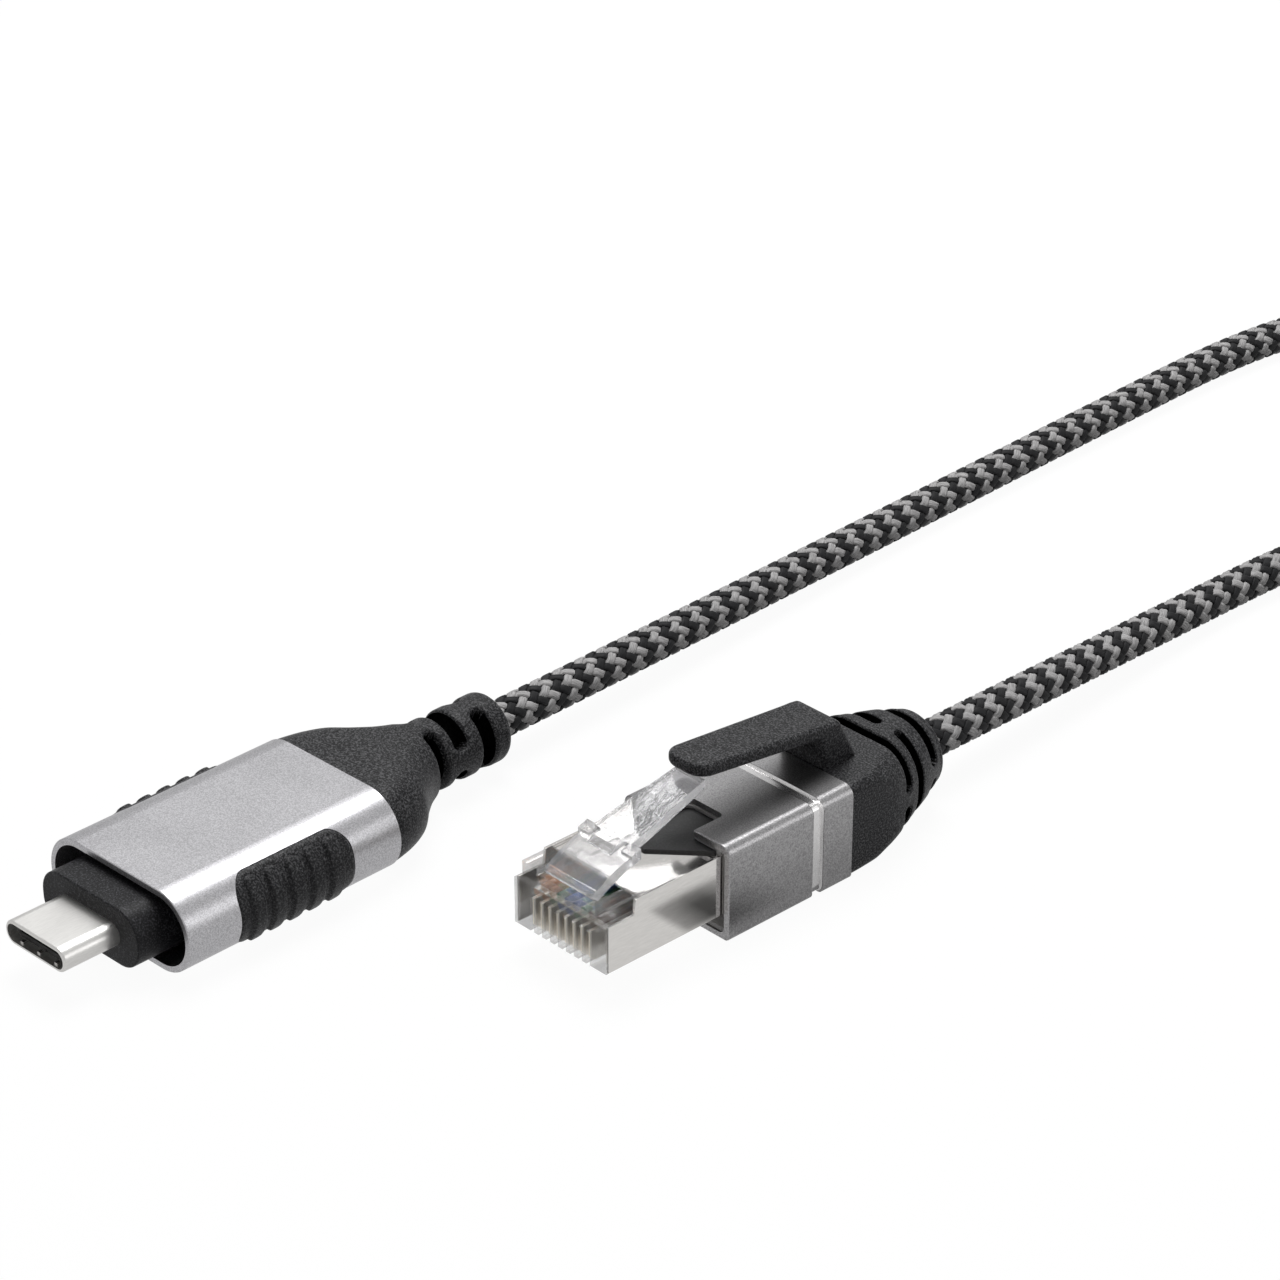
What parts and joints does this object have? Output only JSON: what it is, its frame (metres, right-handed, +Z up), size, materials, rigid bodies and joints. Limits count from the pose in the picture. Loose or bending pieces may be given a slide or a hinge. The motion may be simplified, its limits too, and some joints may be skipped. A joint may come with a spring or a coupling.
{
  "type": "network adapter cable",
  "caption": "Braided network cable with a flat reversible plug in a metal sleeve on one end and a shielded modular network plug with a covered spring latch on the other.",
  "frame": {"origin": "centre of the footprint of the two plugs, on the floor they lie on", "axes": "+Z up, the modular plug's axis along Y with its mouth at -Y and the cable leaving towards +Y, +X from the USB-C end to the modular end"},
  "size_m": [0.0904, 0.2085, 0.0157],
  "materials": {
    "nickel_shell": "satin nickel plating",
    "black_insert": "fine grain",
    "gold_plate": "gold plating",
    "spring_steel": "bright",
    "black_collar": "fine grain",
    "silver_aluminium": "bead blasted and anodised, bright edge",
    "black_rubber": "matt",
    "board_laminate": "solder mask",
    "chip_resin": "moulded resin",
    "tin_plate": "tin plating",
    "ceramic": "fired ceramic",
    "black_boot": "spark-eroded grain",
    "clear_plastic": "clear polycarbonate",
    "orange_wire": "extruded insulation",
    "green_wire": "extruded insulation",
    "blue_wire": "extruded insulation",
    "brown_wire": "extruded insulation",
    "polished_nickel": "polished nickel plating",
    "grey_plastic": "satin",
    "gunmetal_aluminium": "bead blasted, dark grey anodised, cut groove left bright",
    "braid": "black and light grey braided yarn"
  },
  "bodies": {
    "cable_and_plugs": {"usb_plug_shell": "nickel_shell", "usb_plug_insert": "black_insert", "usb_contacts_upper": "gold_plate", "usb_contacts_lower": "gold_plate", "usb_retention_plate": "spring_steel", "usb_ground_springs": "spring_steel", "usb_collar": "black_collar", "usb_sleeve": "silver_aluminium", "usb_grip_right": "black_rubber", "usb_grip_left": "black_rubber", "usb_circuit_board": "board_laminate", "usb_controller_chip": "chip_resin", "usb_transformer": "chip_resin", "usb_crystal": "tin_plate", "usb_small_parts": "ceramic", "usb_cable_ferrule": "tin_plate", "usb_strain_relief": "black_boot", "rj_plug_body": "clear_plastic", "rj_contacts": "gold_plate", "rj_wires_orange": "orange_wire", "rj_wires_green": "green_wire", "rj_wires_blue": "blue_wire", "rj_wires_brown": "brown_wire", "rj_shield": "polished_nickel", "rj_inner_frame": "grey_plastic", "rj_inner_core": "black_insert", "rj_sleeve": "gunmetal_aluminium", "rj_boot": "black_boot", "rj_cable_ferrule": "tin_plate", "cable_run_usb": "braid", "cable_run_rj": "braid", "cable_coil": "braid"},
    "latch": {"rj_latch": "clear_plastic"},
    "latch_arm": {"rj_latch_arm": "black_boot"}
  },
  "joints": [
    {"name": "latch_cover_press", "type": "hinge", "parent": "cable_and_plugs", "child": "latch_arm", "pos_m": [0.01676, 0.02489, 0.0133], "axis": [1, 0, 0], "range_deg": [0, 12], "stiffness_Nm_per_rad": 0.02},
    {"name": "latch_flex", "type": "hinge", "parent": "cable_and_plugs", "child": "latch", "pos_m": [0.01676, -0.00346, 0.00855], "axis": [1, 0, 0], "range_deg": [-12.5, 0], "stiffness_Nm_per_rad": 0.02}
  ],
  "couplings": [
    {"joint": "latch_flex", "follows": "latch_cover_press", "ratio": -1.03}
  ]
}
